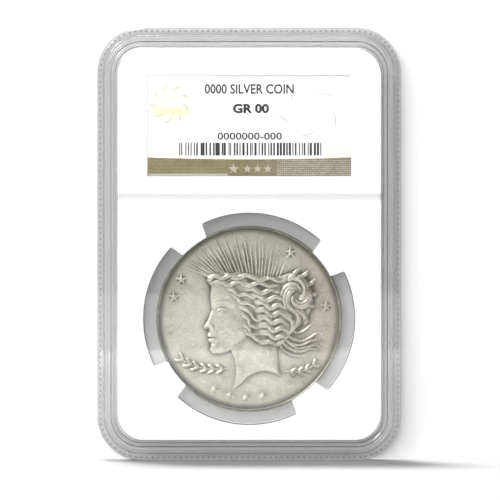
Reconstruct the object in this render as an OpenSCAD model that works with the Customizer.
// Sealed display slab for one large silver coin.
// The slab stands on its bottom edge: X is its width, Y its thickness with the
// front towards -Y, and Z its height. The origin is the middle of the bottom edge.

/* [Slab] */
// Width of the slab
slab_w = 62; // [60:0.5:66]
// Height of the slab
slab_h = 88.3; // [86:0.1:94]
// Radius of the four outer corners
slab_corner_r = 9; // [8:0.25:11]
// Width of the clear rim, from the outer edge to the cavity that holds the core
rim_w = 4; // [4:0.1:5]
// Thickness of the clear window in each shell
window_t = 1.3; // [1:0.05:1.8]
// Height of the stacking ridge on the front, and of the ring on the rear
ridge_h = 0.6; // [0.4:0.05:0.8]

/* [Rim] */
// Width of the outer ledge on which the rear ring of another slab sits
ledge_w = 1.4; // [1.3:0.05:1.6]
// Distance from the outer edge to the inner end of the flat top of the ridge
ridge_top_end = 2.65; // [2.4:0.05:2.8]
// Distance from the outer edge to the foot of the ridge
ridge_foot = 3.5; // [3.2:0.05:3.8]
// Chamfer along the outer edges
edge_chamfer = 0.4; // [0.2:0.05:0.5]
// Width of the tongue that joins the rear shell to the front shell
tongue_w = 0.8; // [0.6:0.05:0.9]
// Height of the tongue
tongue_h = 0.8; // [0.5:0.05:1]

/* [Core] */
// Thickness of the core
core_t = 4.2; // [4:0.1:5]
// Radius of the core's corners
core_corner_r = 5.5; // [5.1:0.1:7]
// Radius of the round opening around the coin
opening_r = 21.5; // [21:0.1:22.5]
// Width of the soft bevel around the opening
bevel_w = 0.7; // [0.4:0.1:1]
// Angle of the first prong, anticlockwise from the right as seen from the front
prong_angle = 37; // [30:1:60]
// Width of a prong where it leaves the core
prong_root_w = 7.8; // [6:0.1:9]
// Width of a prong where it meets the coin
prong_tip_w = 5.9; // [4:0.1:6]
// Height of the slot for the divider rib
rib_slot_h = 1.6; // [1.4:0.1:2]

/* [Coin] */
// Diameter of the coin
coin_d = 38.1; // [37:0.1:39]
// Thickness of the coin at its rim
coin_t = 2.4; // [2:0.1:2.9]
// Width of the coin's raised rim
coin_rim_w = 0.75; // [0.5:0.05:1.2]
// Depth of the field below the rim on each side
coin_field_depth = 0.2; // [0.1:0.05:0.3]
// Height of the coin's centre above the slab's bottom edge
coin_centre_h = 28.9; // [27:0.1:31]
// Running clearance between the coin and the prongs
coin_clearance = 0.08; // [0.05:0.01:0.1]
// How far the prong lips reach over the coin's rim
lip_overlap = 0.25; // [0.15:0.05:0.4]

/* [Labels] */
// Width of the front and rear labels
label_w = 41.6; // [36:0.1:46]
// Height of the front and rear labels
label_h = 20.5; // [16:0.1:22]
// Thickness of the label card
label_t = 0.25; // [0.2:0.05:0.3]
// Height of the label's bottom edge above the slab's bottom edge
label_bottom_h = 58.1; // [57:0.1:60]
// Height of the foil strip at its ends
foil_h = 3.8; // [3:0.1:5]
// How far the top edge of the foil strip dips in the middle
foil_dip = 0.4; // [0.2:0.05:0.6]
// Thickness of the foil strip and of the rear seal
foil_t = 0.1; // [0.1:0.05:0.15]
// Diameter of the round seal on the rear label
seal_d = 14; // [10:0.5:16]

/* [Divider] */
// Height of the divider rib's centre above the slab's bottom edge
rib_centre_h = 53.75; // [53:0.05:54.5]
// Height of the divider rib
rib_h = 1.05; // [0.8:0.05:1.2]
// How far the divider rib reaches into the core
rib_depth = 0.6; // [0.4:0.05:0.7]

/* [Hidden] */
$fn = 96;

core_gap = 0.1;
fit_gap = 0.05;
overlap = 0.25;
parting_bevel = 0.15;
rear_ring_w = 1.1;
ridge_draft = 0.15;
ring_chamfer = 0.3;
pocket_gap = 0.1;
pocket_depth = label_t + foil_t + fit_gap;
prong_count = 4;

mid_h = slab_h / 2;
core_w = slab_w - 2 * (rim_w + core_gap);
core_h = slab_h - 2 * (rim_w + core_gap);
cavity_face = core_t / 2;
window_face = cavity_face + window_t;
ridge_face = window_face + ridge_h;
tongue_start = (rim_w - tongue_w) / 2 + edge_chamfer;
tongue_end = tongue_start + tongue_w;
coin_r = coin_d / 2;
lip_r = coin_r - lip_overlap;
bevel_depth = bevel_w / 3;
rib_slot_depth = rib_depth + fit_gap;
foil_sag_r = (pow(label_w / 2, 2) + pow(foil_dip, 2)) / (2 * foil_dip);

// Each point of a rim profile is [distance in from the outer edge, Y].
front_profile = [
    [parting_bevel, 0],
    [0, -parting_bevel],
    [0, -window_face + edge_chamfer],
    [edge_chamfer, -window_face],
    [ledge_w, -window_face],
    [ledge_w + ridge_draft, -ridge_face],
    [ridge_top_end, -ridge_face],
    [(ridge_top_end + ridge_foot) / 2, -window_face - ridge_h / 3],
    [ridge_foot, -window_face],
    [rim_w, -window_face],
    [rim_w, 0],
    [tongue_end + fit_gap, 0],
    [tongue_end + fit_gap, -tongue_h - fit_gap],
    [tongue_start - fit_gap, -tongue_h - fit_gap],
    [tongue_start - fit_gap, 0]
];

rear_profile = [
    [parting_bevel, 0],
    [0, parting_bevel],
    [0, ridge_face - ring_chamfer],
    [ring_chamfer, ridge_face],
    [rear_ring_w, ridge_face],
    [rear_ring_w + ridge_draft, window_face],
    [rim_w, window_face],
    [rim_w, 0],
    [tongue_end, 0],
    [tongue_end, -tongue_h],
    [tongue_start, -tongue_h],
    [tongue_start, 0]
];

// ---- Shared shapes ----

module both_sides() {
    children();
    mirror([1, 0, 0]) children();
}

module top_and_bottom() {
    children();
    mirror([0, 0, 1]) children();
}

// Moves a shape drawn around the slab's centre up to its place.
module at_height(height) {
    translate([0, 0, height]) children();
}

// Turns a flat drawing upright, so that it faces -Y, and gives it a thickness
// from y_from to y_to.
module upright(y_from, y_to) {
    translate([0, y_to, 0]) rotate([90, 0, 0]) linear_extrude(y_to - y_from) children();
}

module rounded_outline(width, height, corner_r) {
    square([width - 2 * corner_r, height], center = true);
    square([width, height - 2 * corner_r], center = true);
    for (x = [-1, 1], y = [-1, 1])
        translate([x * (width / 2 - corner_r), y * (height / 2 - corner_r)]) circle(corner_r);
}

// Sweeps a profile once around the slab's rounded outline.
module rim_sweep(profile) {
    corner_profile = [for (point = profile) [slab_corner_r - point[0], point[1]]];
    straight_w = slab_w - 2 * slab_corner_r;
    straight_h = slab_h - 2 * slab_corner_r;
    both_sides()
        translate([-slab_w / 2, 0, -straight_h / 2])
            linear_extrude(straight_h) polygon(profile);
    top_and_bottom()
        translate([straight_w / 2, 0, -slab_h / 2])
            rotate([0, -90, 0]) linear_extrude(straight_w) polygon(profile);
    both_sides() top_and_bottom()
        translate([straight_w / 2, 0, -straight_h / 2])
            rotate([-90, 0, 0]) rotate_extrude(angle = 90) polygon(corner_profile);
}

// A clear plate that closes the rim, from y_from to y_to.
module window_plate(y_from, y_to) {
    inset = rim_w - overlap;
    upright(y_from, y_to)
        rounded_outline(slab_w - 2 * inset, slab_h - 2 * inset, slab_corner_r - inset);
}

// The rib that keeps the label end and the coin end apart, on one shell's inner face.
module divider_rib(y_from, y_to) {
    width = slab_w - 2 * rim_w + 2 * overlap;
    translate([-width / 2, y_from, rib_centre_h - rib_h / 2]) cube([width, y_to - y_from, rib_h]);
}

// A disc or a hole on the coin's axis, from y_from to y_to.
module on_coin_axis(radius, y_from, y_to) {
    at_height(coin_centre_h) upright(y_from, y_to) circle(radius);
}

// A pocket for a label, cut into the core from y_from to y_to.
module label_pocket(y_from, y_to) {
    width = label_w + 2 * pocket_gap;
    height = label_h + 2 * pocket_gap;
    translate([-width / 2, y_from, label_bottom_h - pocket_gap]) cube([width, y_to - y_from, height]);
}

// A slot for a shell's divider rib, cut into the core from y_from to y_to.
module rib_slot(y_from, y_to) {
    translate([-slab_w / 2, y_from, rib_centre_h - rib_slot_h / 2])
        cube([slab_w, y_to - y_from, rib_slot_h]);
}

// The cone that bevels the opening's edge on the front face of the core.
module opening_bevel() {
    at_height(coin_centre_h) rotate([-90, 0, 0]) rotate_extrude()
        polygon([
            [0, -cavity_face - 1],
            [opening_r + bevel_w, -cavity_face - 1],
            [opening_r + bevel_w, -cavity_face],
            [opening_r, -cavity_face + bevel_depth],
            [0, -cavity_face + bevel_depth]
        ]);
}

// The four prongs, reaching in from the core to the coin's edge.
module prongs() {
    root_r = opening_r + 1;
    slope = (prong_root_w - prong_tip_w) / 2 / (opening_r - lip_r);
    root_half = prong_root_w / 2 + slope;
    tip_half = prong_tip_w / 2;
    at_height(coin_centre_h) upright(-cavity_face, cavity_face)
        for (turn = [0:prong_count - 1])
            rotate(prong_angle + turn * 360 / prong_count)
                polygon([
                    [lip_r - 0.5, -tip_half],
                    [root_r, -root_half],
                    [root_r, root_half],
                    [lip_r - 0.5, tip_half]
                ]);
}

// ---- Sub-parts ----

module front_shell() {
    color([0.86, 0.9, 0.92, 0.35]) {
        at_height(mid_h) rim_sweep(front_profile);
        at_height(mid_h) window_plate(-window_face, -cavity_face);
        divider_rib(-cavity_face - overlap, -cavity_face + rib_depth);
    }
}

module rear_shell() {
    color([0.84, 0.88, 0.9, 0.35]) {
        at_height(mid_h) rim_sweep(rear_profile);
        at_height(mid_h) window_plate(cavity_face, window_face);
        divider_rib(cavity_face - rib_depth, cavity_face + overlap);
    }
}

module coin_core() {
    color("white") difference() {
        union() {
            difference() {
                at_height(mid_h) upright(-cavity_face, cavity_face)
                    rounded_outline(core_w, core_h, core_corner_r);
                on_coin_axis(opening_r, -core_t, core_t);
                opening_bevel();
            }
            prongs();
        }
        on_coin_axis(lip_r, -core_t, core_t);
        on_coin_axis(
            coin_r + coin_clearance,
            -coin_t / 2 - coin_clearance,
            coin_t / 2 + coin_clearance
        );
        label_pocket(-core_t, -cavity_face + pocket_depth);
        label_pocket(cavity_face - pocket_depth, core_t);
        rib_slot(-core_t, -cavity_face + rib_slot_depth);
        rib_slot(cavity_face - rib_slot_depth, core_t);
    }
}

module coin() {
    field_r = coin_r - coin_rim_w;
    field_y = coin_t / 2 - coin_field_depth;
    color([0.72, 0.71, 0.64]) at_height(coin_centre_h) rotate([-90, 0, 0]) rotate_extrude()
        polygon([
            [0, -field_y],
            [field_r - coin_field_depth, -field_y],
            [field_r, -coin_t / 2],
            [coin_r, -coin_t / 2],
            [coin_r, coin_t / 2],
            [field_r, coin_t / 2],
            [field_r - coin_field_depth, field_y],
            [0, field_y]
        ]);
}

module label_card(y_from) {
    translate([-label_w / 2, y_from, label_bottom_h]) cube([label_w, label_t, label_h]);
}

module front_label() {
    color("ivory") label_card(-cavity_face + pocket_depth - label_t);
}

module foil_strip() {
    label_face = -cavity_face + pocket_depth - label_t;
    color([0.66, 0.58, 0.4]) at_height(label_bottom_h)
        upright(label_face - foil_t, label_face)
            difference() {
                translate([-label_w / 2, 0]) square([label_w, foil_h]);
                translate([0, foil_h - foil_dip + foil_sag_r]) circle(foil_sag_r, $fn = 360);
            }
}

module rear_label() {
    color("ivory") label_card(cavity_face - pocket_depth);
}

module rear_seal() {
    label_face = cavity_face - pocket_depth + label_t;
    color([0.75, 0.74, 0.62]) at_height(label_bottom_h + label_h / 2)
        upright(label_face, label_face + foil_t) circle(seal_d / 2);
}

front_shell();
rear_shell();
coin_core();
coin();
front_label();
foil_strip();
rear_label();
rear_seal();
